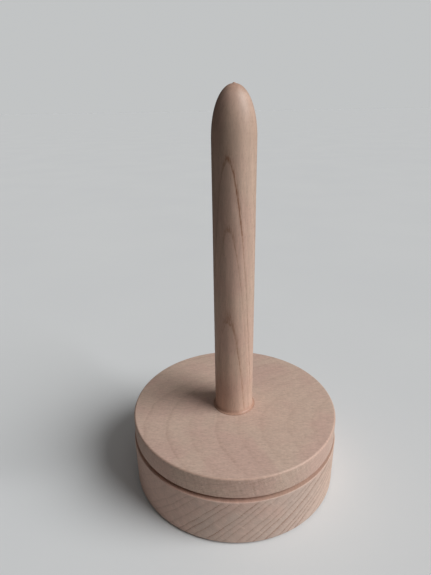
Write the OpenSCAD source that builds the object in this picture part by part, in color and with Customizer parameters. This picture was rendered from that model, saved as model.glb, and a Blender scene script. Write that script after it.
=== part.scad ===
// Paper towel holder: a turned beech post stands on a disc, which spins on a heavy base block.
// The disc is carried by a ball bearing ring that is sunk into both blocks.
// Origin: centre of the footprint, on the surface that it stands on. +Z up, lengths in mm.

/* [Base] */
// Diameter of the base block
base_d = 162; // [156:1:180]
// Height of the base block
base_h = 37.5; // [36:0.5:50]
// Rounding radius of the base block's edges
base_round = 0.7; // [0.5:0.1:2]
// Diameter of each rubber foot
foot_d = 12.7; // [10:0.1:16]
// Height that the feet lift the base block
foot_lift = 1.5; // [1.2:0.1:2.5]
// Distance of the feet from the centre
foot_orbit = 62; // [54:1:66]
// Diameter of the screwdriver hole through the base block
access_d = 9; // [8:0.1:10]

/* [Turntable] */
// Diameter of the turning disc
disc_d = 160; // [150:1:178]
// Thickness of the turning disc
disc_h = 16.5; // [14:0.5:20]
// Rounding radius of the disc's edges
disc_round = 0.9; // [0.5:0.1:2]
// Open gap between the base block and the disc
turn_gap = 2.8; // [2:0.1:3.5]

/* [Post] */
// Diameter of the post
post_d = 29.5; // [28:0.5:34]
// Height of the post above the disc
post_h = 235.5; // [220:0.5:300]
// Height of the rounded tip
tip_h = 32; // [20:1:45]
// Roundness of the tip: 1 is half an ellipse, less is fuller
tip_fullness = 0.96; // [0.8:0.01:1]
// Radius of the small nub that is left on the tip
nub_r = 1.3; // [1:0.1:2]
// Height of that nub above the rounded tip
nub_h = 0.5; // [0.3:0.1:0.8]
// Cove radius where the post meets the disc
cove_r = 1.7; // [1:0.1:3]
// Height of the plain lip under that cove
lip_h = 0.5; // [0.3:0.1:1]
// Diameter of the tenon that is glued into the disc
tenon_d = 20; // [18:0.5:22]
// Depth that the post's foot is let into the disc
foot_housing = 1; // [0.5:0.1:2]

/* [Bearing] */
// Diameter of the circle that the ball centres run on
ball_pitch_d = 80; // [76:1:104]
// Diameter of each ball
ball_d = 5; // [4.6:0.1:5.2]
// Number of balls
ball_count = 16; // [12:1:24]
// Height of each bearing ring
ring_h = 8; // [7.5:0.1:8.5]
// Radial width of each bearing ring
ring_w = 10; // [10:0.1:12]
// Height of the inner ring above the outer one
ring_step = 1; // [0.8:0.1:1.2]
// Depth that the outer ring is sunk into the base block
base_recess = 3.5; // [3:0.1:3.8]

/* [Fasteners] */
// Number of screws in each bearing ring
screw_count = 4; // [3:1:6]
// Thread diameter of the wood screws
screw_d = 3.5; // [3:0.1:3.9]
// Length of the wood screws under the outer ring
outer_screw_l = 20; // [16:1:24]
// Length of the wood screws above the inner ring
inner_screw_l = 16; // [14:1:18]
// Thread diameter of the bolt that draws the post down
bolt_d = 8; // [6:1:8]
// Length of that bolt under its head
bolt_l = 30; // [26:1:36]

/* [Hidden] */
BALL_NODES = [for (i = [1:ball_count]) str("bearing_ball_", i)];
FOOT_COUNT = 4;
FOOT_NODES = [for (i = [1:FOOT_COUNT]) str("foot_", i)];
$fn = 96;

// Colours
beech_side = [0.74, 0.62, 0.53];
beech_face = [0.79, 0.67, 0.57];
beech_post = [0.80, 0.67, 0.56];
aluminium = [0.77, 0.78, 0.79];
steel = [0.62, 0.63, 0.65];
brass = [0.80, 0.66, 0.36];
nylon = [0.93, 0.92, 0.88];
rubber = [0.16, 0.16, 0.17];

// Heights, from the table up
base_top = foot_lift + base_h;
disc_bottom = base_top + turn_gap;
disc_top = disc_bottom + disc_h;
outer_ring_z = base_top - base_recess;
inner_ring_z = outer_ring_z + ring_step;
inner_ring_top = inner_ring_z + ring_h;
disc_recess = inner_ring_top - disc_bottom;
ball_z = (outer_ring_z + inner_ring_top) / 2;

// Bearing, from the ball circle outward and inward
pitch_r = ball_pitch_d / 2;
ball_play = 0.1;
groove_r = ball_d / 2 + ball_play;
ring_split = 1.6;
outer_ring_ir = pitch_r + ring_split / 2;
outer_ring_or = outer_ring_ir + ring_w;
inner_ring_or = pitch_r - ring_split / 2;
inner_ring_ir = inner_ring_or - ring_w;
outer_screw_orbit = (pitch_r + groove_r + outer_ring_or) / 2;
inner_screw_orbit = (pitch_r - groove_r + inner_ring_ir) / 2;
recess_play = 0.4;
recess_r = outer_ring_or + recess_play;
hub_r = inner_ring_ir - recess_play;

// Retainer strip between the rings
retainer_t = 1;
retainer_margin = 0.8;
pocket_r = ball_d / 2 + 0.15;

// Wood screws
head_r = screw_d * 0.94;
head_h = screw_d * 0.68;
head_rim = 0.3;
screw_core_r = screw_d * 0.36;
screw_pitch = 1.4;
screw_tip_l = 3;
screw_hole_r = screw_d / 2 + 0.25;
drive_l = screw_d * 1.05;
drive_w = 0.8;
drive_depth = 1.5;

// Post joint
post_foot_r = post_d / 2 + cove_r;
tenon_play = 0.05;
tenon_end_gap = 1;
washer_d = 30;
washer_t = 2;
washer_play = 0.4;
washer_pocket_d = washer_d + 0.8;
insert_d = 12;
insert_l = 18;
insert_bite = 0.5;
insert_barb_pitch = 3;
bolt_thread = 1.25;
bolt_core_r = bolt_d / 2 - 0.65;
bolt_head_d = 14;
bolt_head_h = 4.4;
bolt_socket_af = 5;
bolt_socket_depth = 2.6;
bolt_tip_room = 2;
tenon_end_z = inner_ring_top + tenon_end_gap;
bolt_seat_z = inner_ring_top - washer_t;

// Feet and plug
foot_h = foot_lift + 2;
foot_pocket_play = 0.15;
foot_edge = 0.6;
plug_flange_d = access_d + 5;
plug_flange_h = 1;
plug_l = 9;
plug_wall = 1.4;
plug_play = 0.05;
plug_angle = 90;

// Small allowance that carries a cut past the face it opens
cut = 0.5;

// Half outline of a disc of radius r and height h whose two rims are rounded
module rim_outline(r, h, round_r) {
    square([r - round_r, h]);
    translate([0, round_r]) square([r, h - 2 * round_r]);
    for (y = [round_r, h - round_r]) translate([r - round_r, y]) circle(round_r);
}

// Places its children count times around the axis, at radius orbit
module around(count, orbit, start = 0) {
    for (i = [0:count - 1]) rotate(start + i * 360 / count) translate([orbit, 0, 0]) children();
}

// Half outline of a threaded rod: ridges of the given pitch from z = from up to z = to
module thread_outline(core_r, outer_r, pitch, from, to) {
    turns = floor((to - from) / pitch);
    ridges = [
        for (i = [0:turns - 1], side = [0, 1]) [side ? outer_r : core_r, from + (i + side / 2) * pitch]
    ];
    polygon(concat([[0, from]], ridges, [[core_r, to], [0, to]]));
}

// Countersunk wood screw: head face at z = 0, point downward at z = -length
module wood_screw(length) {
    difference() {
        rotate_extrude() {
            translate([0, -head_rim]) square([head_r, head_rim]);
            polygon([[0, -head_rim], [head_r, -head_rim], [screw_core_r, -head_h], [0, -head_h]]);
            translate([0, -length + screw_tip_l]) square([screw_core_r, length - screw_tip_l - head_rim]);
            polygon([[0, -length], [screw_core_r, -length + screw_tip_l], [0, -length + screw_tip_l]]);
            thread_outline(screw_core_r, screw_d / 2, screw_pitch, -length + screw_tip_l, -ring_h + head_rim);
        }
        for (a = [0, 90]) rotate(a) translate([-drive_l / 2, -drive_w / 2, -drive_depth])
            cube([drive_l, drive_w, drive_depth + cut]);
    }
}

// Through hole in a bearing ring for one of those screws, its head flush with z = 0
module screw_seat() {
    translate([0, 0, -ring_h - cut]) cylinder(r = screw_hole_r, h = ring_h + 2 * cut);
    translate([0, 0, -head_rim]) cylinder(r = head_r + 0.1, h = head_rim + cut);
    translate([0, 0, -head_h]) cylinder(r1 = screw_hole_r, r2 = head_r + 0.1, h = head_h - head_rim);
}

// Bearing ring with the ball groove cut into the wall that faces the balls
module bearing_ring(ir, or, z) {
    rotate_extrude() difference() {
        translate([ir, z]) square([or - ir, ring_h]);
        translate([pitch_r, ball_z]) circle(groove_r);
    }
}

module base_block() {
    color(beech_side) difference() {
        translate([0, 0, foot_lift]) rotate_extrude() rim_outline(base_d / 2, base_h, base_round);
        translate([0, 0, outer_ring_z]) cylinder(r = recess_r, h = base_recess + cut);
        around(screw_count, outer_screw_orbit, 45)
            translate([0, 0, outer_ring_z + ring_h - outer_screw_l])
                cylinder(r = screw_core_r, h = outer_screw_l);
        around(FOOT_COUNT, foot_orbit, 45)
            translate([0, 0, -cut]) cylinder(r = foot_d / 2 + foot_pocket_play, h = foot_h + cut);
        around(1, inner_screw_orbit, plug_angle) {
            cylinder(d = access_d, h = base_top);
            translate([0, 0, -cut]) cylinder(d = plug_flange_d + 0.2, h = foot_lift + plug_flange_h + cut);
        }
    }
}

module access_plug() {
    color(rubber) around(1, inner_screw_orbit, plug_angle) difference() {
        union() {
            translate([0, 0, foot_lift]) cylinder(d = plug_flange_d, h = plug_flange_h);
            translate([0, 0, foot_lift]) cylinder(r = access_d / 2 - plug_play, h = plug_l);
        }
        translate([0, 0, foot_lift + plug_flange_h])
            cylinder(r = access_d / 2 - plug_wall, h = plug_l);
    }
}

module bearing_outer_ring() {
    color(aluminium) difference() {
        bearing_ring(outer_ring_ir, outer_ring_or, outer_ring_z);
        around(screw_count, outer_screw_orbit, 45) translate([0, 0, outer_ring_z + ring_h]) screw_seat();
    }
}

module outer_ring_screws() {
    color(steel) around(screw_count, outer_screw_orbit, 45)
        translate([0, 0, outer_ring_z + ring_h]) wood_screw(outer_screw_l);
}

module foot(i) {
    color(rubber) rotate(45 + (i - 1) * 360 / FOOT_COUNT) translate([foot_orbit, 0, 0]) rotate_extrude()
        polygon([
            [0, 0], [foot_d / 2 - foot_edge, 0], [foot_d / 2, foot_edge], [foot_d / 2, foot_h], [0, foot_h]
        ]);
}

module ball_retainer() {
    strip_h = 2 * (pocket_r + retainer_margin);
    color(nylon) difference() {
        translate([0, 0, ball_z - strip_h / 2]) rotate_extrude()
            translate([pitch_r - retainer_t / 2, 0]) square([retainer_t, strip_h]);
        around(ball_count, pitch_r - retainer_t) translate([0, 0, ball_z])
            rotate([0, 90, 0]) cylinder(r = pocket_r, h = 2 * retainer_t);
    }
}

module bearing_ball(i) {
    color(steel) rotate((i - 1) * 360 / ball_count) translate([pitch_r, 0, ball_z]) sphere(d = ball_d);
}

module bearing_inner_ring() {
    color(aluminium) difference() {
        bearing_ring(inner_ring_ir, inner_ring_or, inner_ring_z);
        around(screw_count, inner_screw_orbit)
            translate([0, 0, inner_ring_z]) rotate([180, 0, 0]) screw_seat();
    }
}

module inner_ring_screws() {
    color(steel) around(screw_count, inner_screw_orbit)
        translate([0, 0, inner_ring_z]) rotate([180, 0, 0]) wood_screw(inner_screw_l);
}

module turntable_disc() {
    color(beech_face) difference() {
        translate([0, 0, disc_bottom]) rotate_extrude() rim_outline(disc_d / 2, disc_h, disc_round);
        translate([0, 0, disc_bottom - cut]) {
            rotate_extrude() translate([hub_r, 0]) square([recess_r - hub_r, disc_recess + cut]);
            cylinder(d = washer_pocket_d, h = disc_recess + cut);
            cylinder(d = tenon_d, h = disc_h + 2 * cut);
        }
        translate([0, 0, disc_top - foot_housing])
            cylinder(r = post_foot_r + tenon_play, h = foot_housing + cut);
        around(screw_count, inner_screw_orbit)
            translate([0, 0, inner_ring_z]) cylinder(r = screw_core_r, h = inner_screw_l);
    }
}

module post() {
    post_r = post_d / 2;
    tip_start = post_h - nub_h - tip_h;
    tip_steps = 30;
    tip = [for (i = [0:tip_steps]) [
        post_r * pow(cos(90 * i / tip_steps), tip_fullness),
        tip_start + tip_h * pow(sin(90 * i / tip_steps), tip_fullness)
    ]];
    color(beech_post) difference() {
        union() {
            translate([0, 0, disc_top]) rotate_extrude() {
                difference() {
                    translate([0, -foot_housing]) square([post_foot_r, foot_housing + lip_h + cove_r]);
                    translate([post_foot_r, lip_h + cove_r]) circle(cove_r);
                }
                square([post_r, tip_start]);
                polygon(concat([[0, tip_start]], tip));
                intersection() {
                    translate([0, post_h - nub_r]) circle(nub_r);
                    translate([0, post_h - 2 * nub_r]) square(2 * nub_r);
                }
            }
            translate([0, 0, tenon_end_z]) cylinder(r = tenon_d / 2 - tenon_play, h = disc_top - tenon_end_z);
        }
        translate([0, 0, tenon_end_z - cut]) cylinder(d = insert_d, h = insert_l + cut);
        translate([0, 0, tenon_end_z])
            cylinder(d = bolt_d + 0.5, h = bolt_seat_z + bolt_l + bolt_tip_room - tenon_end_z);
    }
}

module post_insert() {
    barbs = floor(insert_l / insert_barb_pitch) - 1;
    barb_h = insert_barb_pitch / 2;
    barb = [[0, 0], [insert_d / 2 + insert_bite, 0], [insert_d / 2, barb_h], [0, barb_h]];
    color(brass) translate([0, 0, tenon_end_z]) difference() {
        rotate_extrude() {
            square([insert_d / 2, insert_l]);
            for (i = [1:barbs]) translate([0, i * insert_barb_pitch]) polygon(barb);
        }
        translate([0, 0, -cut]) cylinder(r = bolt_core_r, h = insert_l + 2 * cut);
    }
}

module post_washer() {
    color(steel) translate([0, 0, bolt_seat_z]) difference() {
        cylinder(d = washer_d, h = washer_t);
        translate([0, 0, -cut]) cylinder(d = bolt_d + washer_play, h = washer_t + 2 * cut);
    }
}

module post_bolt() {
    shoulder = tenon_end_z - bolt_seat_z;
    color(steel) translate([0, 0, bolt_seat_z]) difference() {
        rotate_extrude() {
            polygon([
                [0, -bolt_head_h], [bolt_head_d * 0.36, -bolt_head_h],
                [bolt_head_d / 2, -bolt_head_h * 0.45], [bolt_head_d / 2, 0], [0, 0]
            ]);
            square([bolt_core_r, bolt_l]);
            square([bolt_d / 2, shoulder - bolt_thread]);
            thread_outline(
                bolt_core_r, bolt_d / 2, bolt_thread, shoulder - bolt_thread, bolt_l - bolt_thread / 2
            );
        }
        translate([0, 0, -bolt_head_h - cut])
            cylinder(d = bolt_socket_af / cos(30), h = bolt_socket_depth + cut, $fn = 6);
    }
}

base_block();
access_plug();
bearing_outer_ring();
outer_ring_screws();
for (i = [1:FOOT_COUNT]) foot(i);
ball_retainer();
for (i = [1:ball_count]) bearing_ball(i);
bearing_inner_ring();
inner_ring_screws();
turntable_disc();
post();
post_insert();
post_washer();
post_bolt();
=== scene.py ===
"""Looks of a turned beech paper towel holder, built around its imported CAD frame.

Mesh functions take millimetres and scale to metres as the mesh is made; positions come from the frame.
"""

import math

import bmesh
import bpy
from mathutils import Matrix, Vector, noise


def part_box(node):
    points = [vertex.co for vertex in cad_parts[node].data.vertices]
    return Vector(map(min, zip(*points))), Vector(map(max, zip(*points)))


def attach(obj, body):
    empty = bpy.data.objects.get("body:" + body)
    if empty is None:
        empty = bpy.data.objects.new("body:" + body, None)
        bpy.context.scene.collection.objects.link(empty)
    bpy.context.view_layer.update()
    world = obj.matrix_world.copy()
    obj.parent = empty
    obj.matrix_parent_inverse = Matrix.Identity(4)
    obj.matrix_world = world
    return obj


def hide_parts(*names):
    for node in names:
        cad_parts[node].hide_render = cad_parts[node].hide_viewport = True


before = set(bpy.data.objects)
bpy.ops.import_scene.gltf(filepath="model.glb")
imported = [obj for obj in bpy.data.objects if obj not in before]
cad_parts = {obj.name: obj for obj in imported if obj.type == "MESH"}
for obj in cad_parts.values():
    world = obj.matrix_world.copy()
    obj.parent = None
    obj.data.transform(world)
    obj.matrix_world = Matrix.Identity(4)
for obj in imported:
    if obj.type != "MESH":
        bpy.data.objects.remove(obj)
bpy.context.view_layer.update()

MM = 0.001
SKIN = 0.002  # mm that a new piece stays inside its CAD solid
ROUND_SEGMENTS = 360
SMALL_SEGMENTS = 48
ARC_STEPS = 7
SMOOTH_ANGLE = math.radians(32)


# ---------------------------------------------------------------- frame readings


def span(node):
    """Lowest and highest corner of a CAD node in millimetres."""
    lo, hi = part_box(node)
    return lo / MM, hi / MM


def radius(node):
    """Largest radius in millimetres of a CAD node that is round about the Z axis."""
    return span(node)[1].x


def centre(node):
    """Middle of a CAD node's box in millimetres."""
    lo, hi = span(node)
    return (lo + hi) / 2


# ---------------------------------------------------------------- meshes


def arc(cx, cy, r, start, end, steps=ARC_STEPS):
    """Points of a circular arc in the profile plane, angles in degrees."""
    points = []
    for i in range(steps + 1):
        a = math.radians(start + (end - start) * i / steps)
        points.append((cx + r * math.cos(a), cy + r * math.sin(a)))
    return points


def ring_of(bm, r, z, segments):
    """One ring of vertices; r is a number, or a function of the angle."""
    ring = []
    for i in range(segments):
        a = math.tau * i / segments
        rr = r(a) if callable(r) else r
        ring.append(bm.verts.new((rr * math.cos(a), rr * math.sin(a), z)))
    return ring


def lathe(profile, segments=ROUND_SEGMENTS, closed=False):
    """Solid of revolution. The profile lists (radius, height); radius 0 makes a pole."""
    bm = bmesh.new()
    rings = []
    for r, z in profile:
        if not callable(r) and r == 0:
            rings.append([bm.verts.new((0, 0, z))])
        else:
            rings.append(ring_of(bm, r, z, segments))
    pairs = list(zip(rings, rings[1:]))
    if closed:
        pairs.append((rings[-1], rings[0]))
    for a, b in pairs:
        for i in range(segments):
            j = (i + 1) % segments
            corners = [a[i % len(a)], a[j % len(a)], b[j % len(b)], b[i % len(b)]]
            face = list(dict.fromkeys(corners))
            if len(face) > 2:
                bm.faces.new(face)
    bmesh.ops.recalc_face_normals(bm, faces=bm.faces)
    return bm


def prism(outline, low, high):
    """Upright prism on a flat outline of (x, y) points."""
    bm = bmesh.new()
    bottom = [bm.verts.new((x, y, low)) for x, y in outline]
    top = [bm.verts.new((x, y, high)) for x, y in outline]
    bm.faces.new(bottom)
    bm.faces.new(top)
    for i in range(len(outline)):
        j = (i + 1) % len(outline)
        bm.faces.new((bottom[i], bottom[j], top[j], top[i]))
    bmesh.ops.recalc_face_normals(bm, faces=bm.faces)
    return bm


def drill(x, y, r, low, high, segments=SMALL_SEGMENTS):
    """Cutter for a round hole at (x, y)."""
    bm = lathe([(0, low), (r, low), (r, high), (0, high)], segments)
    bmesh.ops.translate(bm, verts=bm.verts, vec=(x, y, 0))
    return bm


def direction(turn, rise):
    """Unit vector that points turn degrees round from +X and rise degrees up."""
    turn, rise = math.radians(turn), math.radians(rise)
    return Vector((math.cos(turn) * math.cos(rise), math.sin(turn) * math.cos(rise), math.sin(rise)))


def polar(r, degrees):
    """Point at a radius and an angle."""
    a = math.radians(degrees)
    return r * math.cos(a), r * math.sin(a)


def to_object(bm, name):
    """Turns a bmesh in millimetres into a smooth-shaded object in metres."""
    bmesh.ops.scale(bm, verts=bm.verts, vec=(MM, MM, MM))
    mesh = bpy.data.meshes.new(name)
    bm.to_mesh(mesh)
    bm.free()
    obj = bpy.data.objects.new(name, mesh)
    bpy.context.scene.collection.objects.link(obj)
    smooth(mesh)
    return obj


def smooth(mesh):
    """Smooth shading with sharp edges kept."""
    for polygon in mesh.polygons:
        polygon.use_smooth = True
    mesh.set_sharp_from_angle(angle=SMOOTH_ANGLE)


def cut_with(obj, cutters):
    """Subtracts each cutter from the object for good."""
    for i, bm in enumerate(cutters):
        tool = to_object(bm, f"{obj.name}_cutter_{i}")
        modifier = obj.modifiers.new("cut", "BOOLEAN")
        modifier.operation = "DIFFERENCE"
        modifier.solver = "EXACT"
        modifier.object = tool
        bake_modifiers(obj)
        bpy.data.objects.remove(tool)
    smooth(obj.data)
    return obj


def bake_modifiers(obj):
    """Replaces the object's mesh by its evaluated one."""
    graph = bpy.context.evaluated_depsgraph_get()
    mesh = bpy.data.meshes.new_from_object(obj.evaluated_get(graph))
    obj.modifiers.clear()
    obj.data = mesh


def copies(obj, places):
    """Puts copies of the object's mesh, one for each placement matrix, in that mesh's place."""
    bm = bmesh.new()
    for place in places:
        part = obj.data.copy()
        part.transform(place)
        bm.from_mesh(part)
        bpy.data.meshes.remove(part)
    bm.to_mesh(obj.data)
    bm.free()
    smooth(obj.data)


def sand(bm, depth, grain, inner):
    """Hand sanding: takes up to depth off the wall outside radius inner, unevenly."""
    for vert in bm.verts:
        if vert.co.xy.length < inner:
            continue
        dent = noise.noise(vert.co / grain)
        share = 0.5 + 0.5 * max(-1.0, min(1.0, 1.6 * dent))
        vert.co.xy *= 1 - depth * share / vert.co.xy.length
    return bm


def finish_piece(obj, material, slot, body, *nodes):
    """Gives a new piece its material, its body and the CAD nodes it stands for."""
    obj.data.materials.clear()
    obj.data.materials.append(material)
    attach(obj, body)
    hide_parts(*nodes)


# ---------------------------------------------------------------- shader graphs


class Graph:
    """Short names for the nodes of one material. Inputs may be numbers, tuples or sockets."""

    def __init__(self, name):
        self.material = bpy.data.materials.new(name)
        self.material.use_nodes = True
        self.nodes = self.material.node_tree.nodes
        self.links = self.material.node_tree.links
        self.nodes.clear()
        output = self.nodes.new("ShaderNodeOutputMaterial")
        self.shader = self.nodes.new("ShaderNodeBsdfPrincipled")
        self.links.new(self.shader.outputs[0], output.inputs["Surface"])
        coords = self.nodes.new("ShaderNodeTexCoord")
        self.position = self.vector("SCALE", coords.outputs["Object"], scale=1 / MM)
        self.normal = coords.outputs["Normal"]

    def feed(self, socket, value):
        """Links a socket, or sets its value."""
        if isinstance(value, bpy.types.NodeSocket):
            self.links.new(value, socket)
        else:
            socket.default_value = value

    def math(self, operation, *values, clamp=False):
        node = self.nodes.new("ShaderNodeMath")
        node.operation = operation
        node.use_clamp = clamp
        for socket, value in zip(node.inputs, values):
            self.feed(socket, value)
        return node.outputs[0]

    def vector(self, operation, *values, scale=None):
        node = self.nodes.new("ShaderNodeVectorMath")
        node.operation = operation
        for socket, value in zip(node.inputs, values):
            self.feed(socket, value)
        if scale is not None:
            self.feed(node.inputs["Scale"], scale)
        scalar = operation in ("DOT_PRODUCT", "LENGTH")
        return node.outputs["Value" if scalar else "Vector"]

    def combine(self, x, y, z):
        node = self.nodes.new("ShaderNodeCombineXYZ")
        for socket, value in zip(node.inputs, (x, y, z)):
            self.feed(socket, value)
        return node.outputs[0]

    def noise(self, vector, scale, detail=2.0, roughness=0.5, distortion=0.0):
        node = self.nodes.new("ShaderNodeTexNoise")
        self.feed(node.inputs["Vector"], vector)
        node.inputs["Scale"].default_value = scale
        node.inputs["Detail"].default_value = detail
        node.inputs["Roughness"].default_value = roughness
        node.inputs["Distortion"].default_value = distortion
        return node.outputs[0]

    def cells(self, vector):
        """Distance to the nearest cell centre, and a random number for that cell."""
        node = self.nodes.new("ShaderNodeTexVoronoi")
        self.feed(node.inputs["Vector"], vector)
        node.inputs["Scale"].default_value = 1.0
        node.inputs["Randomness"].default_value = 1.0
        split = self.nodes.new("ShaderNodeSeparateColor")
        self.links.new(node.outputs["Color"], split.inputs[0])
        return node.outputs["Distance"], split.outputs[0]

    def random(self, value):
        node = self.nodes.new("ShaderNodeTexWhiteNoise")
        node.noise_dimensions = "1D"
        self.feed(node.inputs["W"], value)
        return node.outputs["Value"]

    def split(self, vector):
        """The three coordinates of a vector."""
        node = self.nodes.new("ShaderNodeSeparateXYZ")
        self.links.new(vector, node.inputs[0])
        return node.outputs[0], node.outputs[1], node.outputs[2]

    def step(self, value, low, high, out_low=0.0, out_high=1.0):
        """Smooth step of a value from low to high."""
        node = self.nodes.new("ShaderNodeMapRange")
        node.interpolation_type = "SMOOTHSTEP"
        self.feed(node.inputs["Value"], value)
        node.inputs["From Min"].default_value = low
        node.inputs["From Max"].default_value = high
        node.inputs["To Min"].default_value = out_low
        node.inputs["To Max"].default_value = out_high
        return node.outputs["Result"]

    def curve(self, value, stops):
        """Grey ramp through (position, value) stops."""
        node = self.nodes.new("ShaderNodeValToRGB")
        elements = node.color_ramp.elements
        while len(elements) < len(stops):
            elements.new(0.5)
        for element, (position, grey) in zip(elements, stops):
            element.position = position
            element.color = (grey, grey, grey, 1)
        self.feed(node.inputs[0], value)
        return node.outputs[0]

    def mix(self, factor, a, b, blend="MIX"):
        node = self.nodes.new("ShaderNodeMix")
        node.data_type = "RGBA"
        node.blend_type = blend
        self.feed(node.inputs[0], factor)
        for socket, value in ((node.inputs[6], a), (node.inputs[7], b)):
            self.feed(socket, (*value, 1) if isinstance(value, tuple) else value)
        return node.outputs[2]

    def bump(self, height, distance_mm, strength):
        node = self.nodes.new("ShaderNodeBump")
        node.inputs["Strength"].default_value = strength
        node.inputs["Distance"].default_value = distance_mm * MM
        self.feed(node.inputs["Height"], height)
        self.links.new(node.outputs[0], self.shader.inputs["Normal"])

    def finish(self, colour, roughness, metallic=0.0, specular=0.5):
        self.feed(self.shader.inputs["Base Color"], colour)
        self.feed(self.shader.inputs["Roughness"], roughness)
        self.shader.inputs["Metallic"].default_value = metallic
        self.shader.inputs["Specular IOR Level"].default_value = specular
        return self.material


# ---------------------------------------------------------------- beech


TAN = (0.645, 0.478, 0.390)
PINK = (0.630, 0.436, 0.366)
LATEWOOD = (0.330, 0.195, 0.145)
LATEWOOD_WARM = (0.330, 0.168, 0.104)
RAY_BROWN = (0.330, 0.185, 0.130)
RAY_PALE = (0.760, 0.600, 0.505)
END_GREY = (0.540, 0.425, 0.370)
# reddish brown of painted shade in the gap under the disc, the post's foot cove and tip, and of the tool's
# rubbing at the nub
SHADE_AND_BURNISH_RED = (0.400, 0.205, 0.140)
# lighter, warmer tint of the rounded corners: painted highlight and painted reddish shade
EDGE_PAINTED_LIGHT_AND_SHADE = (0.700, 0.470, 0.370)

RING_PROFILE = [(0.0, 0.6), (0.03, 0.08), (0.30, 0.0), (0.60, 0.10), (0.85, 0.38), (0.95, 1.0), (1.0, 0.9)]


class Log:
    """Where each point of a piece lies in the log that it was cut from, in mm.

    pith is a point on the log's middle line, which runs along axis. radial is the direction from the
    pith to the piece, and reach is the distance.
    """

    def __init__(self, g, pith, axis, radial, reach):
        self.g = g
        self.reach = reach
        self.axis = Vector(axis).normalized()
        radial = Vector(radial)
        self.radial = (radial - radial.dot(self.axis) * self.axis).normalized()
        from_pith = g.vector("SUBTRACT", g.position, tuple(pith))
        self.along = g.vector("DOT_PRODUCT", from_pith, tuple(self.axis))
        self.outward = g.vector("DOT_PRODUCT", from_pith, tuple(self.radial))
        self.sideways = g.vector("DOT_PRODUCT", from_pith, tuple(self.axis.cross(self.radial)))

    def stretched(self, across, lengthwise):
        """Noise coordinates drawn out along the grain; the arguments are units of noise per mm."""
        return self.g.combine(
            self.g.math("MULTIPLY", self.outward, across),
            self.g.math("MULTIPLY", self.sideways, across),
            self.g.math("MULTIPLY", self.along, lengthwise),
        )

    def around(self):
        """Distance around the pith, measured at reach."""
        return self.g.math("MULTIPLY", self.g.math("ARCTAN2", self.sideways, self.outward), self.reach)

    def plates(self, r, tall, thick, wide):
        """Coordinates whose cells are ray plates of that height, thickness and width."""
        return self.g.combine(
            self.g.math("DIVIDE", self.along, tall),
            self.g.math("DIVIDE", self.around(), thick),
            self.g.math("DIVIDE", r, wide),
        )

    def facing(self, way, low, high):
        """How squarely the surface faces that way or away from it, as a smooth step of the cosine."""
        cosine = self.g.vector("DOT_PRODUCT", self.g.normal, tuple(way))
        return self.g.step(self.g.math("ABSOLUTE", cosine), low, high)


def product(g, *values):
    """All the values multiplied together."""
    result = values[0]
    for value in values[1:]:
        result = g.math("MULTIPLY", result, value)
    return result


def without(g, share):
    """What a share leaves of one."""
    return g.math("SUBTRACT", 1.0, share)


def ring_radius(g, log, rings):
    """Distance from the pith, gently waved, as the growth rings follow it."""
    u, v = log.outward, log.sideways
    r = g.math("SQRT", g.math("ADD", product(g, u, u), product(g, v, v)))
    wave = g.math("SUBTRACT", g.noise(log.stretched(0.022, 0.007), 1.0, 1.0), 0.5)
    ripple = g.math("SUBTRACT", g.noise(log.stretched(0.09, 0.03), 1.0, 2.0), 0.5)
    r = g.math("ADD", r, product(g, wave, rings["wave"]))
    return g.math("ADD", r, product(g, ripple, rings["ripple"]))


def ring_lines(g, log, r, rings):
    """Strength of the late wood: uneven from year to year, patchy, and broken up by the pores."""
    grown = g.math("SUBTRACT", r, log.reach)
    years = g.math("ADD", g.math("DIVIDE", grown, rings["spacing"]), rings["phase"])
    swing = g.math("SINE", product(g, years, math.tau / rings["period"]))
    years = g.math("ADD", years, product(g, swing, rings["swing"]))
    late = g.curve(g.math("FRACT", years), RING_PROFILE)
    year_share = g.math("ADD", product(g, g.random(g.math("FLOOR", years)), 0.75), 0.45)
    patch = g.step(g.noise(log.stretched(0.022, 0.007), 2.6, 1.0), 0.30, 0.58, 0.62, 1.0)
    pores = g.step(g.noise(log.stretched(1.3, 0.24), 1.0, 2.0, 0.6), 0.36, 0.62, 0.50, 1.25)
    return product(g, late, year_share, patch, pores)


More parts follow.
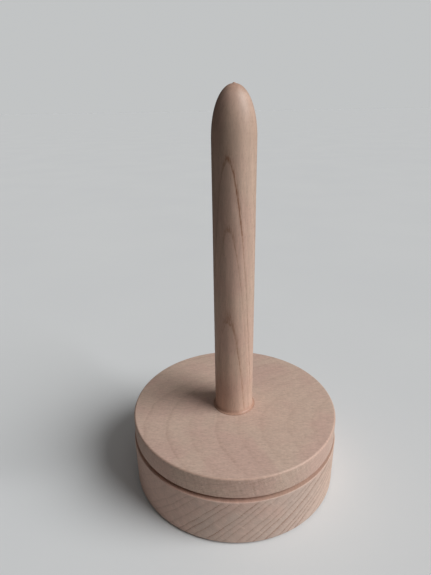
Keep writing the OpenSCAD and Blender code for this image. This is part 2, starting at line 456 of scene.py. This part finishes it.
def beech(name, log, rings, tone, fading=(), sideways=(), shade_and_burnish=()):
    """Beech cut from a log; log holds the arguments of the class Log, from pith on.

    rings holds the growth rings' spacing in mm and phase in years, swing and period, which make the
    spacing uneven, their contrast, wave and ripple, and the colour of their late wood.
    tone holds the strengths of end grain, flecks, fine rays, pale rays, ribbons, streaks and fibres,
    the gain of each colour channel, drift, which makes the wood pinker with each mm past reach, edge,
    which paints the rounded corners a lighter, warmer tint, a painted highlight and painted reddish
    shade along the corners, and polishes them, and the surface's roughness and gloss.
    fading lists (start, full, share): between those distances past reach the rings go over to that
    share of their strength. sideways does the same for distances to the side of the plane that holds
    axis and radial. burnished lists (start, full, share): between those heights most of the rings fade
    and the wood reddens and darkens by that share, with a smoother surface: mostly painted shade, in
    the gap under the disc, in the cove at the post's foot and over its tip, and the tool's rubbing at the
    nub.
    """
    g = Graph(name)
    log = Log(g, **log)
    r = ring_radius(g, log, rings)
    depth = g.math("SUBTRACT", r, log.reach)
    height = g.split(g.position)[2]
    # height bands of painted shade, with the tool's rubbing at the nub: darker, redder wood, fainter rings,
    # less rough
    shade_and_burnish_masks = [g.step(height, start, full) for start, full, share in shade_and_burnish]

    line = ring_lines(g, log, r, rings)
    for distance, bands in ((depth, fading), (log.sideways, sideways)):
        for start, full, share in bands:
            line = product(g, line, g.step(distance, start, full, 1.0, share))
    for shade_and_burnish_mask in shade_and_burnish_masks:
        line = product(g, line, without(g, product(g, shade_and_burnish_mask, 0.8)))

    # which way the surface cuts the log
    end = log.facing(log.axis, 0.25, 0.95)
    flat = log.facing(log.radial, 0.35, 0.9)

    # rays: thin plates that run from pith to bark, seen as short flecks, bands or fine lines
    nearness, lot = g.cells(log.plates(r, 2.3, 0.62, 13.0))
    plate = g.step(nearness, 0.16, 0.44, 1.0, 0.0)
    fleck = product(g, plate, g.step(lot, 0.35, 0.6))
    sheen = product(g, plate, g.step(lot, 0.15, 0.33, 1.0, 0.0))
    fine_nearness, fine_lot = g.cells(log.plates(r, 2.2, 0.34, 5.0))
    fine = product(g, g.step(fine_nearness, 0.15, 0.5, 1.0, 0.0), g.step(fine_lot, 0.1, 0.7))

    # wide rays cut along their length: ribbons on the radial faces
    ribbon_at = g.combine(product(g, log.along, 0.62), product(g, log.around(), 0.07), product(g, r, 0.035))
    ribbon = g.step(g.noise(ribbon_at, 1.0, 3.0, 0.65), 0.42, 0.64)
    side = product(g, without(g, flat), without(g, end))

    # fibres along the grain, and soft patches of colour
    fibre = g.noise(log.stretched(1.1, 0.17), 1.0, 3.0, 0.6)
    streak = g.noise(log.stretched(0.28, 0.02), 1.0, 2.0, 0.55)
    cloud = g.noise(g.position, 0.028, 3.0, 0.55, 0.4)
    pink = g.step(g.math("ADD", cloud, product(g, depth, tone["drift"])), 0.36, 0.66)

    colour = g.mix(pink, TAN, PINK)
    grey = product(g, end, g.math("SUBTRACT", 1.25, pink))
    colour = g.mix(product(g, grey, tone["end"]), colour, END_GREY)
    colour = g.mix(g.math("MULTIPLY", line, rings["contrast"], clamp=True), colour, rings["late"])
    colour = g.mix(product(g, fleck, tone["fleck"], without(g, end)), colour, RAY_BROWN)
    colour = g.mix(product(g, ribbon, side, tone["ribbon"]), colour, RAY_BROWN)
    colour = g.mix(product(g, sheen, tone["ray"], without(g, flat)), colour, RAY_PALE)
    colour = g.mix(product(g, fine, tone["fine"]), colour, RAY_BROWN)
    # painted shade: each band darkens and reddens the wood
    for shade_and_burnish_mask, (start, full, share) in zip(shade_and_burnish_masks, shade_and_burnish):
        colour = g.mix(product(g, shade_and_burnish_mask, share), colour, SHADE_AND_BURNISH_RED)

    # a rounded corner faces neither up nor sideways; its lighter, warmer tint is a painted highlight and
    # painted reddish shade along the corner, its lower roughness a real polish
    up = g.vector("DOT_PRODUCT", g.normal, (0, 0, 1))
    level = product(g, up, up)
    painted_edge_light_and_polish = product(g, level, without(g, level), 4.0, tone["edge"])
    colour = g.mix(painted_edge_light_and_polish, colour, EDGE_PAINTED_LIGHT_AND_SHADE)

    drawn, woven = tone["streak"], tone["fibre"]
    shade = g.math("ADD", g.step(fibre, 0.25, 0.75, -woven, woven), g.step(streak, 0.3, 0.7, -drawn, drawn))
    gains = [g.math("ADD", shade, channel) for channel in tone["gain"]]
    colour = g.mix(1.0, colour, g.combine(*gains), "MULTIPLY")

    roughness = g.math("ADD", product(g, fibre, 0.10), product(g, line, -0.05))
    roughness = g.math("ADD", roughness, g.step(fleck, 0.0, 1.0, tone["rough"], tone["rough"] - 0.06))
    for shade_and_burnish_mask in shade_and_burnish_masks:
        roughness = g.math("SUBTRACT", roughness, product(g, shade_and_burnish_mask, 0.08))
    roughness = g.math("SUBTRACT", roughness, product(g, painted_edge_light_and_polish, 0.30))
    pits = g.math("ADD", product(g, fibre, 0.6), product(g, fine, -0.35))
    g.bump(g.math("ADD", pits, product(g, fleck, -0.25)), 0.05, 0.55)
    return g.finish(colour, roughness, specular=tone["gloss"])


# ---------------------------------------------------------------- other materials


def turned_metal(name, colour, stain, groove, roughness):
    """Metal turned on a lathe about the Z axis: fine rings, with a little staining."""
    g = Graph(name)
    x, y, z = g.split(g.position)
    r = g.vector("LENGTH", g.combine(x, y, 0.0))
    lines_at = g.combine(g.math("DIVIDE", r, groove), g.math("DIVIDE", z, groove), 0.0)
    lines = g.noise(lines_at, 1.0, 3.0, 0.7)
    cloud = g.noise(g.position, 0.11, 3.0)
    tint = g.mix(g.step(cloud, 0.35, 0.75, 0.0, 0.8), colour, stain)
    tint = g.mix(g.step(lines, 0.3, 0.7, 0.0, 0.18), tint, (0.25, 0.25, 0.26))
    rough = g.math("ADD", g.math("MULTIPLY", lines, 0.2), g.step(cloud, 0.3, 0.7, roughness - 0.1, roughness))
    g.bump(lines, 0.02, 0.6)
    return g.finish(tint, rough, metallic=1.0)


def plated_steel(name, colour, stain, roughness):
    """Zinc-plated steel with the mottled sheen of its passivation."""
    g = Graph(name)
    cloud = g.noise(g.position, 0.45, 4.0, 0.6, 0.6)
    speck = g.noise(g.position, 6.0, 2.0)
    tint = g.mix(g.step(cloud, 0.32, 0.7), colour, stain)
    tint = g.mix(g.step(speck, 0.62, 0.72, 0.0, 0.35), tint, (0.20, 0.19, 0.18))
    mottled = g.step(cloud, 0.3, 0.7, 0.0, 0.14)
    rough = g.math("ADD", mottled, g.step(speck, 0.3, 0.7, roughness, roughness + 0.08))
    g.bump(g.math("ADD", g.math("MULTIPLY", speck, 0.4), cloud), 0.015, 0.5)
    return g.finish(tint, rough, metallic=1.0)


def polished_steel(name):
    """Bearing steel: bright, with faint scuffs."""
    g = Graph(name)
    scuff = g.noise(g.position, 2.2, 5.0, 0.7, 1.5)
    tint = g.mix(g.step(scuff, 0.4, 0.7), (0.72, 0.72, 0.73), (0.62, 0.62, 0.64))
    rough = g.step(scuff, 0.45, 0.75, 0.07, 0.2)
    g.bump(scuff, 0.004, 0.4)
    return g.finish(tint, rough, metallic=1.0)


def moulded(name, colour, shade, roughness, grain, dent):
    """Moulded rubber or plastic: fine texture, slight mottling and settled dust."""
    g = Graph(name)
    cloud = g.noise(g.position, 0.22, 3.0, 0.6)
    speck = g.noise(g.position, grain, 3.0, 0.65)
    tint = g.mix(g.step(cloud, 0.3, 0.7), colour, shade)
    dust = g.math("MULTIPLY", g.step(speck, 0.60, 0.75), 0.25)
    tint = g.mix(dust, tint, (0.45, 0.43, 0.40))
    grainy = g.step(speck, 0.3, 0.7, -0.06, 0.06)
    rough = g.math("ADD", grainy, g.step(cloud, 0.3, 0.7, roughness, roughness - 0.07))
    g.bump(speck, dent, 0.7)
    return g.finish(tint, rough, specular=0.4)


def pale_floor(name):
    """Smooth painted board, off-white and faintly uneven; it throws light back as a small table would."""
    g = Graph(name)
    cloud = g.noise(g.position, 0.004, 3.0)
    seen = g.mix(g.step(cloud, 0.3, 0.7), (0.745, 0.768, 0.788), (0.76, 0.783, 0.80))
    reach = g.step(g.vector("LENGTH", g.position), 130.0, 480.0)
    felt = g.mix(reach, (0.74, 0.725, 0.705), (0.05, 0.05, 0.05))
    path = g.nodes.new("ShaderNodeLightPath")
    tint = g.mix(path.outputs["Is Camera Ray"], felt, seen)
    rough = g.step(g.noise(g.position, 0.05, 4.0), 0.3, 0.7, 0.80, 0.88)
    return g.finish(tint, rough, specular=0.0)


# ---------------------------------------------------------------- wooden pieces

BASE_TOP = span("base_block")[1].z
DISC_LOW = span("turntable_disc")[0].z
DISC_TOP = span("turntable_disc")[1].z
POST_TOP = span("post")[1].z
RING_LOW = span("bearing_outer_ring")[0].z
RING_TOP = span("bearing_inner_ring")[1].z
RECESS_R = radius("bearing_outer_ring") + 0.4
HUB_R = 28.8
HOUSING = 1  # mm that the post's foot is let into the disc
PASS = 1  # mm that a cutter goes past the face it starts or ends at
SAND_DEPTH = 0.05
OUTER_ORBIT = 46.7
INNER_ORBIT = 33.3
SCREW_HEAD_R = 3.29 - SKIN
WOOD_SCREW_CORE = 1.26
SCREW_TURNS = [0, 90, 180, 270]
FOOT_NODES = sorted(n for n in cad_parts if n.startswith("foot_"))
BALL_NODES = sorted(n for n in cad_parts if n.startswith("bearing_ball_"))


def make_base():
    """Base block: rounded rims, recess for the bearing, pockets for the feet, access hole."""
    r = radius("base_block") - SKIN
    low = span("base_block")[0].z + SKIN
    top = BASE_TOP - SKIN
    edge = 0.7
    access_r = 4.5
    profile = [(0, low), (r * 0.5, low), (r - 4, low)]
    profile += arc(r - edge, low + edge, edge, -90, 0)
    profile += [(r, low + (top - low) * k / 8) for k in range(1, 8)]
    profile += arc(r - edge, top - edge, edge, 0, 90)
    profile += [(RECESS_R + 0.3, top)]
    profile += [(RECESS_R, top - 0.3), (RECESS_R, RING_LOW), (RECESS_R * 0.5, RING_LOW), (0, RING_LOW)]
    bm = sand(lathe(profile), SAND_DEPTH, 9.0, r - edge * 1.2)
    obj = to_object(bm, "turned_base_block")
    cutters = []
    for node in FOOT_NODES:
        lo, hi = span(node)
        middle = centre(node)
        cutters.append(drill(middle.x, middle.y, (hi.x - lo.x) / 2 + 0.15, -PASS, hi.z))
    for turn in SCREW_TURNS:
        x, y = polar(OUTER_ORBIT, turn + 45)
        cutters.append(drill(x, y, WOOD_SCREW_CORE, span("outer_ring_screws")[0].z, RING_LOW + PASS, 24))
    lo, hi = span("access_plug")
    middle = centre("access_plug")
    cutters.append(drill(middle.x, middle.y, access_r, -PASS, RING_LOW + PASS))
    cutters.append(drill(middle.x, middle.y, (hi.x - lo.x) / 2 + 0.1, -PASS, lo.z + 1))
    return cut_with(obj, cutters)


def make_disc():
    """Turntable disc: rounded rims, ring channel and washer pocket below, housing for the post on top."""
    r = radius("turntable_disc") - SKIN
    low = DISC_LOW + SKIN
    top = DISC_TOP - SKIN
    edge = 0.9
    upper_edge = 1.5
    washer_r = radius("post_washer") + 0.4
    foot_r = radius("post") + 0.05
    tenon_r = 10.0
    profile = [(washer_r, low), (HUB_R, low), (HUB_R, RING_TOP)]
    profile += [(RECESS_R, RING_TOP), (RECESS_R, low), (r - 4, low)]
    profile += arc(r - edge, low + edge, edge, -90, 0)
    profile += [(r, low + (top - low) * k / 4) for k in range(1, 4)]
    profile += arc(r - upper_edge, top - upper_edge, upper_edge, 0, 90)
    profile += [(r * 0.6, top), (foot_r + 0.15, top), (foot_r, top - 0.15)]
    profile += [(foot_r, top - HOUSING), (tenon_r, top - HOUSING), (tenon_r, RING_TOP), (washer_r, RING_TOP)]
    bm = sand(lathe(profile, closed=True), SAND_DEPTH, 8.0, r - edge * 1.2)
    obj = to_object(bm, "turned_turntable_disc")
    cutters = []
    for turn in SCREW_TURNS:
        x, y = polar(INNER_ORBIT, turn)
        cutters.append(drill(x, y, WOOD_SCREW_CORE, RING_TOP - PASS, span("inner_ring_screws")[1].z, 24))
    return cut_with(obj, cutters)


def make_post():
    """Post: tenon and shoulder in the disc, coved foot, straight dowel, rounded tip with its turning nub."""
    lo, hi = span("post")
    top = hi.z - SKIN
    foot_r = hi.x - SKIN
    post_r = 14.75 - SKIN
    tenon_r = 9.95
    insert_r = 6
    insert_l = 18
    bolt_r = 4.25
    bolt_room_z = 75
    shaft_z = DISC_TOP + 5
    cove = foot_r - post_r
    lip = 0.35
    tip_h = 32.0
    fullness = 0.96
    nub_r = 1.3
    nub_h = 0.5
    tip_z = top - nub_h - tip_h
    bolt_room = [(0, bolt_room_z), (bolt_r, bolt_room_z), (bolt_r, lo.z + insert_l)]
    bolt_room += [(insert_r, lo.z + insert_l), (insert_r, lo.z)]
    tenon = [(tenon_r - 0.5, lo.z), (tenon_r, lo.z + 0.5), (tenon_r, DISC_TOP - HOUSING)]
    tenon += [(foot_r, DISC_TOP - HOUSING), (foot_r, DISC_TOP)]
    foot = [(foot_r, DISC_TOP + lip * 0.5), (foot_r - 0.10, DISC_TOP + lip * 0.85)]
    foot += arc(foot_r, DISC_TOP + lip + cove, cove, -97, -180, 9)
    shaft = [(post_r, shaft_z + (tip_z - shaft_z) * k / 40) for k in range(40)]
    tip = []
    for k in range(25):
        a = math.radians(90 * k / 25)
        tip.append((post_r * math.cos(a) ** fullness, tip_z + tip_h * math.sin(a) ** fullness))
    tip = [(r, z) for r, z in tip if r > nub_r * 1.25]
    nub_z = top - nub_r
    nub = [(nub_r * 1.08, nub_z + 0.15)] + arc(0, nub_z, nub_r, 20, 84, 6) + [(0, top)]
    bm = lathe(bolt_room + tenon + foot + shaft + tip + nub, 192)
    for vert in bm.verts:
        if vert.co.z > DISC_TOP + 3 and vert.co.xy.length > 0:
            # the lathe leaves a long, slight waviness
            dent = 0.5 + 0.5 * noise.noise(Vector((vert.co.x / 30, vert.co.y / 30, vert.co.z / 22)))
            vert.co.xy *= 1 - 0.09 * dent / post_r
    return to_object(bm, "turned_post")


# ---------------------------------------------------------------- feet, screws and bolt


def make_foot(node):
    """Stick-on rubber foot: dished underside, rounded rim, slightly drafted wall."""
    lo, hi = span(node)
    middle = centre(node)
    r = (hi.x - lo.x) / 2 - SKIN
    rim = 0.75
    profile = [(0, 0.22), (r * 0.35, 0.16), (r * 0.55, 0.0)]
    profile += arc(r - rim, rim, rim, -90, 0)
    profile += [(r, 1.9), (r - 0.05, hi.z - 0.25), (r - 0.3, hi.z - SKIN), (0, hi.z - SKIN)]
    bm = lathe(profile, 72)
    bmesh.ops.translate(bm, verts=bm.verts, vec=(middle.x, middle.y, 0))
    return to_object(bm, f"rubber_{node}")


def helix(core, crest, pitch, z, fade):
    """Radius around a threaded shaft at height z, as a function of the angle."""

    def at(angle):
        phase = (z / pitch - angle / math.tau) % 1
        ridge = max(0.0, 1 - abs(phase - 0.5) * 2.4)
        return core + (crest - core) * ridge * fade

    return at


def threads(core, crest, pitch, low, high, ends):
    """Rows of a helical thread from low to high, run out over the length ends at either end."""
    steps_per_turn = 9
    count = max(2, round((high - low) / pitch * steps_per_turn))
    rows = []
    for k in range(count + 1):
        z = low + (high - low) * k / count
        fade = min(1.0, (z - low) / ends, (high - z) / ends)
        rows.append((helix(core, crest, pitch, z, max(0.0, fade)), z))
    return rows


def make_screws(name, node, body, orbit, start, up, material):
    """The four countersunk wood screws of a bearing ring."""
    lo, hi = span(node)
    length = hi.z - lo.z - 2 * SKIN
    tip = 3.0
    core = WOOD_SCREW_CORE
    crest = 1.75 - SKIN
    pitch = 1.4
    shank_z = -8.0
    neck_z = -2.38
    profile = [(0, -length), (core * 0.28, -length + tip * 0.25)]
    profile += threads(core * 0.7, 1.5, pitch, -length + tip * 0.45, -length + tip, 0.8)[:-1]
    profile += threads(core, crest, pitch, -length + tip, shank_z, 1.2)
    profile += [(core, neck_z), (SCREW_HEAD_R - 0.05, -0.32)]
    profile += [(SCREW_HEAD_R, -0.22), (SCREW_HEAD_R - 0.1, 0), (0, 0)]
    obj = to_object(lathe(profile, 32), name)
    half_l, half_w = 1.8375, 0.4
    cross = [(half_l, -half_w), (half_l, half_w), (half_w, half_w), (half_w, half_l), (-half_w, half_l)]
    cross += [(-half_w, half_w), (-half_l, half_w), (-half_l, -half_w), (-half_w, -half_w)]
    cross += [(-half_w, -half_l), (half_w, -half_l), (half_w, -half_w)]
    bm = prism(cross, -1.5, 0.5)
    for vert in bm.verts:
        if vert.co.z < -1:
            vert.co.xy *= 0.55
    cut_with(obj, [bm])
    head_z = (hi.z - SKIN if up else lo.z + SKIN) * MM
    places = []
    for turn in SCREW_TURNS:
        x, y = polar(orbit * MM, turn + start)
        place = Matrix.Translation((x, y, head_z)) @ Matrix.Rotation(math.radians(17 + 1.7 * turn), 4, "Z")
        places.append(place if up else place @ Matrix.Rotation(math.pi, 4, "X"))
    copies(obj, places)
    finish_piece(obj, material, "screw_steel", body, node)


def make_bolt(material):
    """Button-head machine bolt with a hexagon socket and a true M8 thread."""
    lo, hi = span("post_bolt")
    low = lo.z + SKIN
    seat = span("post_washer")[0].z
    head_r = radius("post_bolt") - SKIN
    core = 3.35
    crest = 4.0 - SKIN
    pitch = 1.25
    flat = 0.62
    dome_h = 2.9
    profile = [(0, low), (head_r * flat, low)]
    for k in range(1, 9):
        a = math.radians(90 * k / 8)
        profile.append((head_r * (flat + (1 - flat) * math.sin(a)), low + dome_h * (1 - math.cos(a))))
    profile += [(head_r, seat - 0.3), (head_r - 0.2, seat), (crest, seat), (crest, seat + 1.6)]
    profile += threads(core, crest, pitch, seat + 1.75, hi.z - 0.9, 0.8)
    profile += [(core - 0.5, hi.z - SKIN), (0, hi.z - SKIN)]
    obj = to_object(lathe(profile, 40), "post_machine_bolt")
    socket_r = 2.5 / math.cos(math.radians(30))  # 5 mm across the flats
    socket = lathe([(0, low - 1), (socket_r, low - 1), (socket_r, low + 2.3), (0, low + 2.6)], 6)
    cut_with(obj, [socket])
    finish_piece(obj, material, "bolt_steel", "turntable", "post_bolt")


# ---------------------------------------------------------------- build

base_wood = beech(
    "beech_base",
    log={"pith": (190, 0, -170), "axis": (0.02, 1, 0.01), "radial": (-1, 0, 1), "reach": 268.7},
    rings={
        "spacing": 5.2, "phase": 0.3, "swing": 0.22, "period": 3.4,
        "contrast": 1.12, "wave": 3.6, "ripple": 1.7, "late": LATEWOOD,
    },
    tone={
        "end": 0.62, "fleck": 0.26, "fine": 0.12, "ray": 0.45, "ribbon": 0.0, "streak": 0.045, "fibre": 0.06,
        # edge paints a faint highlight and reddish shade along the base's rounded corners
        "gain": (1.0, 1.015, 1.03), "drift": 0.005, "edge": 0.1, "rough": 0.58, "gloss": 0.32,
    },
    fading=((-2, 50, 0.22),),
    # painted shade: the base's top, in the gap under the disc, darkened and reddened, its upper edge faintly
    shade_and_burnish=((BASE_TOP - 1.9, BASE_TOP - 0.7, 0.04), (BASE_TOP - 0.10, BASE_TOP - 0.01, 0.45)),
)

# the disc's grain runs along X and rises a little; its pith lies below and toward the front
DISC_TURN = -3
DISC_RISE = 12
DISC_REACH = 220
DISC_PITH_FORWARD = 27
disc_radial = direction(DISC_TURN, DISC_RISE + 90)
disc_side = direction(DISC_TURN + 90, 0)
disc_wood = beech(
    "beech_disc",
    log={
        "pith": Vector((0, 0, DISC_TOP)) - disc_radial * DISC_REACH - disc_side * DISC_PITH_FORWARD,
        "axis": direction(DISC_TURN, DISC_RISE), "radial": disc_radial, "reach": DISC_REACH,
    },
    rings={
        "spacing": 3.85, "phase": 0.25, "swing": 0.05, "period": 3.1,
        "contrast": 0.22, "wave": 1.6, "ripple": 0.8, "late": LATEWOOD,
    },
    tone={
        "end": 0.22, "fleck": 0.24, "fine": 0.18, "ray": 0.38, "ribbon": 0.20, "streak": 0.02, "fibre": 0.10,
        # edge paints a highlight and reddish shade along the disc's rounded corners
        "gain": (0.955, 0.97, 0.975), "drift": 0.0, "edge": 0.6, "rough": 0.56, "gloss": 0.32,
    },
)

# the post's grain leans a little out of the upright, so that its rings come out as arches
POST_TURN = -105.8
POST_LEAN = 3.3
POST_REACH = 170
post_radial = direction(POST_TURN, -POST_LEAN)
post_wood = beech(
    "beech_post",
    log={
        "pith": Vector((0, 0, DISC_TOP)) - post_radial * POST_REACH,
        "axis": direction(POST_TURN, 90 - POST_LEAN), "radial": post_radial, "reach": POST_REACH,
    },
    rings={
        "spacing": 3.11, "phase": -1.23, "swing": 0.236, "period": 4,
        "contrast": 1.0, "wave": 0.4, "ripple": 0.9, "late": LATEWOOD_WARM,
    },
    tone={
        "end": 0.30, "fleck": 0.22, "fine": 0.08, "ray": 0.26, "ribbon": 0.05, "streak": 0.07, "fibre": 0.07,
        "gain": (1.035, 1.018, 0.988), "drift": 0.0, "edge": 0.0, "rough": 0.50, "gloss": 0.46,
    },
    fading=((3.2, 1.6, 0.12), (4.9, 4.3, 3.3), (8.0, 7.0, 0.64), (8.6, 9.4, 1.15), (11.6, 13.0, 0.12)),
    sideways=((0.5, -6.0, 0.30), (8.0, 11.5, 0.65)),
    shade_and_burnish=(
        # painted shade in the cove at the post's foot
        (DISC_TOP + 4.2, DISC_TOP + 1.6, 0.32),
        (DISC_TOP + 2.0, DISC_TOP + 0.9, 0.50),
        # painted shade browning the tip, and the nub reddened by the turning tool's rubbing
        (POST_TOP - 50, POST_TOP - 8, 0.14),
        (POST_TOP - 7, POST_TOP - 0.5, 0.45),
    ),
)

aluminium = turned_metal("turned_aluminium", (0.80, 0.81, 0.82), (0.70, 0.71, 0.72), 0.35, 0.38)
brass = turned_metal("turned_brass", (0.80, 0.60, 0.30), (0.62, 0.43, 0.20), 0.3, 0.36)
screw_steel = plated_steel("zinc_screw_steel", (0.66, 0.64, 0.58), (0.60, 0.60, 0.62), 0.30)
bolt_steel = plated_steel("zinc_bolt_steel", (0.60, 0.62, 0.65), (0.52, 0.53, 0.54), 0.33)
ball_steel = polished_steel("bearing_steel")
nylon = moulded("retainer_nylon", (0.82, 0.80, 0.74), (0.76, 0.74, 0.68), 0.48, 1.3, 0.03)
foot_rubber = moulded("foot_rubber", (0.020, 0.020, 0.021), (0.030, 0.029, 0.029), 0.86, 3.0, 0.06)
plug_rubber = moulded("plug_rubber", (0.026, 0.026, 0.028), (0.036, 0.035, 0.035), 0.80, 2.0, 0.05)

finish_piece(make_base(), base_wood, "base_wood", "base", "base_block")
finish_piece(make_disc(), disc_wood, "disc_wood", "turntable", "turntable_disc")
finish_piece(make_post(), post_wood, "post_wood", "turntable", "post")
for foot_node in FOOT_NODES:
    finish_piece(make_foot(foot_node), foot_rubber, "foot_rubber", "base", foot_node)
make_screws("outer_wood_screws", "outer_ring_screws", "base", OUTER_ORBIT, 45, True, screw_steel)
make_screws("inner_wood_screws", "inner_ring_screws", "turntable", INNER_ORBIT, 0, False, screw_steel)
make_bolt(bolt_steel)

KEPT_NODES = {
    "access_plug": plug_rubber,
    "bearing_outer_ring": aluminium,
    "bearing_inner_ring": aluminium,
    "ball_retainer": nylon,
    "post_insert": brass,
    "post_washer": bolt_steel,
}
for ball_node in BALL_NODES:
    KEPT_NODES[ball_node] = ball_steel
for node_name, node_material in KEPT_NODES.items():
    node_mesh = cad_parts[node_name].data
    node_mesh.materials.clear()
    node_mesh.materials.append(node_material)


# ---------------------------------------------------------------- stage, light and camera

WINDOW_TURN = -17
WINDOW_RISE = 38
CEILING_LIGHT = 0.26
HORIZON_LIGHT = 0.026
WINDOW_SIDE_GAIN = 0.65
ROOM_COLOUR = (1.0, 0.965, 0.925, 1)
BACKDROP_COLOUR = (0.5385, 0.5505, 0.5540, 1)
CAMERA_PLACE = (0, -0.29232, 0.27958)
CAMERA_YAW = 2.62
CAMERA_DOWN = 22.40
CAMERA_ROLL = -0.0169  # radians


def make_floor():
    """Plain pale floor that runs on past the horizon."""
    half = 40000
    bm = bmesh.new()
    corners = [bm.verts.new((x * half, y * half, 0)) for x, y in ((-1, -1), (1, -1), (1, 1), (-1, 1))]
    bm.faces.new(corners)
    floor = to_object(bm, "floor")
    floor.data.materials.append(pale_floor("painted_board"))


def make_light():
    """One broad soft light from the window on the right."""
    lamp = bpy.data.lights.new("window", "SUN")
    lamp.energy = 2.87
    lamp.angle = math.radians(42)
    lamp.color = (1.0, 0.996, 0.986)
    obj = bpy.data.objects.new("window", lamp)
    obj.rotation_euler = direction(WINDOW_TURN, WINDOW_RISE).to_track_quat("Z", "Y").to_euler()
    bpy.context.scene.collection.objects.link(obj)


def make_world():
    """Soft light from the ceiling, fading to a dark horizon; the camera sees a plain pale backdrop."""
    world = bpy.data.worlds.new("room")
    world.use_nodes = True
    nodes, links = world.node_tree.nodes, world.node_tree.links
    nodes.clear()

    def compute(operation, *values):
        node = nodes.new("ShaderNodeMath")
        node.operation = operation
        for socket, value in zip(node.inputs, values):
            if isinstance(value, bpy.types.NodeSocket):
                links.new(value, socket)
            else:
                socket.default_value = value
        return node.outputs[0]

    coords = nodes.new("ShaderNodeTexCoord")
    split = nodes.new("ShaderNodeSeparateXYZ")
    links.new(coords.outputs["Generated"], split.inputs[0])
    right, up = split.outputs[0], split.outputs[2]
    ceiling = compute("MULTIPLY_ADD", compute("POWER", up, 2), CEILING_LIGHT, HORIZON_LIGHT)
    window_side = compute("MULTIPLY_ADD", right, WINDOW_SIDE_GAIN, 1.0)

    room = nodes.new("ShaderNodeBackground")
    room.inputs["Color"].default_value = ROOM_COLOUR
    links.new(compute("MULTIPLY", ceiling, window_side), room.inputs["Strength"])
    seen = nodes.new("ShaderNodeBackground")
    seen.inputs["Color"].default_value = BACKDROP_COLOUR
    path = nodes.new("ShaderNodeLightPath")
    mixer = nodes.new("ShaderNodeMixShader")
    links.new(path.outputs["Is Camera Ray"], mixer.inputs[0])
    links.new(room.outputs[0], mixer.inputs[1])
    links.new(seen.outputs[0], mixer.inputs[2])
    output = nodes.new("ShaderNodeOutputWorld")
    links.new(mixer.outputs[0], output.inputs["Surface"])
    bpy.context.scene.world = world


def make_camera():
    """Camera that looks down on the holder from the front, from about the height of the post's tip."""
    data = bpy.data.cameras.new("camera")
    data.sensor_width = 36
    data.lens = 27.316
    data.clip_start = 0.01
    data.clip_end = 200
    obj = bpy.data.objects.new("camera", data)
    yaw = Matrix.Rotation(math.radians(CAMERA_YAW), 4, "Z")
    tilt = Matrix.Rotation(math.radians(90 - CAMERA_DOWN), 4, "X")
    roll = Matrix.Rotation(CAMERA_ROLL, 4, "Z")
    obj.matrix_world = Matrix.Translation(CAMERA_PLACE) @ yaw @ tilt @ roll
    bpy.context.scene.collection.objects.link(obj)
    bpy.context.scene.camera = obj


make_floor()
make_light()
make_world()
make_camera()
bpy.context.scene.view_settings.view_transform = "Standard"
